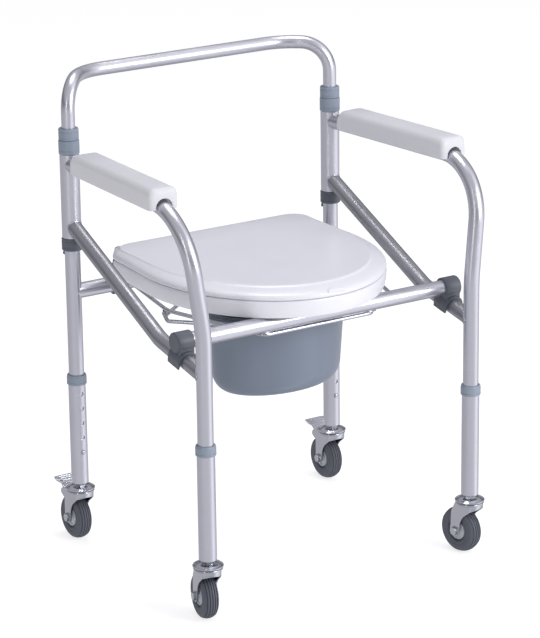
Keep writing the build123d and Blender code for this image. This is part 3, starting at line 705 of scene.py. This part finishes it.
# ---- small details ------------------------------------------------------
def weld_bead(name, body, centre_x, big_r, small_r, height, lean, towards, big_y):
    """Weld where a tube meets an upright one: a bead along the line where the two surfaces cross."""
    rings = []
    for k in range(48):
        a = 2 * pi * k / 48
        x = small_r * cos(a)
        out = sqrt(max(0.0, big_r ** 2 - x ** 2))
        z = height + towards * out * lean + small_r * sin(a) * sqrt(1 + lean ** 2)
        spot = Vector((centre_x + x, big_y + towards * out, z))
        outward = Vector((cos(a) * 0.6, towards * 0.6, sin(a) * 0.8)).normalized()
        across = outward.cross(Vector((-sin(a), 0, cos(a)))).normalized()
        bead = 1.5 + 0.25 * sin(11 * a)
        rings.append([tuple(spot + (outward * cos(b) + across * sin(b)) * bead)
                      for b in (2 * pi * j / 8 for j in range(8))])
    verts, faces = loft(rings, close=True)
    piece(name, verts, faces, "aluminium", body, crease=80)


def welds():
    """Beads at both ends of each slanting brace."""
    for name, side in SIDES.items():
        x = side * HALF_WIDTH
        for end, big_r, towards, big_y in (("front", TUBE_R, 1, FRONT_Y), ("rear", SLEEVE_R, -1, REAR_Y)):
            weld_bead(f"weld_{end}_{name}", f"side_{name}", x, big_r, TUBE_R, *BRACE_ENDS[end],
                      towards, big_y)


def rod_tabs():
    """Flattened ends of the pail rack's front rod, welded under the front crossbar."""
    for name, side in SIDES.items():
        rows = []
        for k in range(13):
            t = -1 + k / 6
            swell = sqrt(max(0.0, 1 - t * t))
            rows.append([(side * 98 + 11 * t, BAR.y + 5.2 * swell * cos(b),
                          BAR.z - TUBE_R - 0.9 + 2.4 * swell * sin(b))
                         for b in (2 * pi * j / 14 for j in range(14))])
        piece(f"rod_tabs_{name}", *loft(rows), "zinc_steel", "seat_frame")


# ---- set ----------------------------------------------------------------
def area_light(name, place, target, size, power):
    data = bpy.data.lights.new(name, "AREA")
    data.shape = "RECTANGLE"
    data.size, data.size_y = size
    data.energy = power
    lamp = bpy.data.objects.new(name, data)
    lamp.location = place
    lamp.rotation_euler = (Vector(target) - Vector(place)).to_track_quat("-Z", "Y").to_euler()
    bpy.context.scene.collection.objects.link(lamp)


def studio():
    """Near-white floor that shiny parts don't mirror, graded surroundings and soft boxes."""
    mesh = bpy.data.meshes.new("floor")
    reach = 14.0
    mesh.from_pydata([(-reach, -reach, 0), (reach, -reach, 0), (reach, reach, 0), (-reach, reach, 0)],
                     [], [(0, 1, 2, 3)])
    floor = bpy.data.objects.new("floor", mesh)
    bpy.context.scene.collection.objects.link(floor)
    floor.visible_glossy = False
    paint = surface("pale_floor", (0.42, 0.42, 0.42), 0.9, spread=0.004, cloud=2, grain=60,
                    bump=0.01, specular=0.1)
    shader = paint.node_tree.nodes["Principled BSDF"]
    shader.inputs["Emission Color"].default_value = (1, 1, 1, 1)
    shader.inputs["Emission Strength"].default_value = 0.72
    mesh.materials.append(paint)
    bpy.context.scene.world = studio_world()
    bpy.context.scene.view_settings.view_transform = "Standard"
    aim = (0, 0, 0.45)
    area_light("key", (1.2, -2.9, 1.6), aim, (1.2, 1.8), 58)
    area_light("left_strip", (-2.6, -1.6, 1.2), aim, (0.3, 2.2), 9)
    area_light("top", (0.2, 0.5, 3.0), aim, (1.1, 1.1), 24)


def graded(nodes, links, value, bands):
    """A colour ramp over value, its stops given as (place, grey)."""
    ramp = nodes.new("ShaderNodeValToRGB")
    stops = ramp.color_ramp.elements
    while len(stops) < len(bands):
        stops.new(0.5)
    for stop, (place, grey) in zip(stops, bands):
        stop.position = place
        stop.color = (grey, grey, grey * 1.07, 1)
    links.new(value, ramp.inputs["Fac"])
    return ramp.outputs["Color"]


def studio_world():
    """White where the camera sees it; in reflections a dark horizon and one bright upright strip."""
    world = bpy.data.worlds.new("studio")
    world.use_nodes = True
    nodes = world.node_tree.nodes
    links = world.node_tree.links
    toward = nodes.new("ShaderNodeTexCoord").outputs["Generated"]
    split = nodes.new("ShaderNodeSeparateXYZ")
    links.new(toward, split.inputs["Vector"])
    height = ranged(nodes, links, split.outputs["Z"], 0.0, 1.0, -1.0, 1.0)
    sky = graded(nodes, links, height, [(0.0, 0.40), (0.30, 0.78), (0.42, 0.82), (0.49, 0.46),
                                        (0.53, 0.14), (0.61, 0.26), (0.76, 0.70), (1.0, 0.62)])
    depth = ranged(nodes, links, split.outputs["Y"], 1.0, 0.72, -1.0, 1.0)
    circle = nodes.new("ShaderNodeTexGradient")
    circle.gradient_type = "RADIAL"
    links.new(toward, circle.inputs["Vector"])
    strip = graded(nodes, links, circle.outputs["Fac"],
                   [(0.30, 0.0), (0.36, 0.55), (0.40, 0.75), (0.44, 0.45), (0.50, 0.0)])
    factor, first, second, result = blend(nodes, "ADD")
    factor.default_value = 1.0
    links.new(sky, first)
    links.new(strip, second)
    links.new(result, nodes["Background"].inputs["Color"])
    links.new(depth, nodes["Background"].inputs["Strength"])
    white = nodes.new("ShaderNodeBackground")
    white.inputs["Color"].default_value = (0.975, 0.975, 0.975, 1)
    choice = nodes.new("ShaderNodeMixShader")
    links.new(nodes.new("ShaderNodeLightPath").outputs["Is Camera Ray"], choice.inputs["Fac"])
    links.new(nodes["Background"].outputs["Background"], choice.inputs[1])
    links.new(white.outputs["Background"], choice.inputs[2])
    links.new(choice.outputs["Shader"], nodes["World Output"].inputs["Surface"])
    return world


def camera():
    """Long lens in front of the chair, to its left, a little above the seat."""
    turn = radians(-32.21)
    lift = radians(17.8)
    roll = radians(-0.73)
    distance = 4.849
    focal = 168.8
    target = Vector((-0.0026, MIDDLE_Y * MM, 0.3966))
    back = Vector((sin(turn) * cos(lift), -cos(turn) * cos(lift), sin(lift)))
    right = Vector((cos(turn), sin(turn), 0))
    up = back.cross(right)
    level = right * cos(roll) + up * sin(roll)
    upright = up * cos(roll) - right * sin(roll)
    data = bpy.data.cameras.new("camera")
    data.sensor_width = 36
    data.lens = focal
    data.clip_end = 100
    eye = bpy.data.objects.new("camera", data)
    bpy.context.scene.collection.objects.link(eye)
    axes = Matrix((level, upright, back)).transposed().to_4x4()
    eye.matrix_world = Matrix.Translation(target + back * distance) @ axes
    bpy.context.scene.camera = eye


# ---- build --------------------------------------------------------------
def paint_frame():
    """Gives every CAD node that stays visible the finish of its slot; the braces instead get the darker copy of
    the aluminium, which is painted shade.
    """
    for part in frame["record"]["subparts"]:
        node = frame["nodes"][part["node"]]
        node.data.materials.clear()
        # Braces take the darker aluminium copy: painted shade for the dark reflections on them.
        dull = part["node"].startswith("brace_")
        node.data.materials.append(SHADED_BRACE_TUBE if dull else FINISH[part["material_slot"]])


paint_frame()
seat_lid()
finger_tab()
hinge_lug_pieces()
seat_ring()
pail()
post_collar_pieces()
welds()
rod_tabs()
for side_name, side_sign in SIDES.items():
    arm_pad(side_name, side_sign)
    for leg_end in ENDS:
        leg_collar(leg_end, side_name, side_sign)
        castor(leg_end, side_name, side_sign)
studio()
camera()
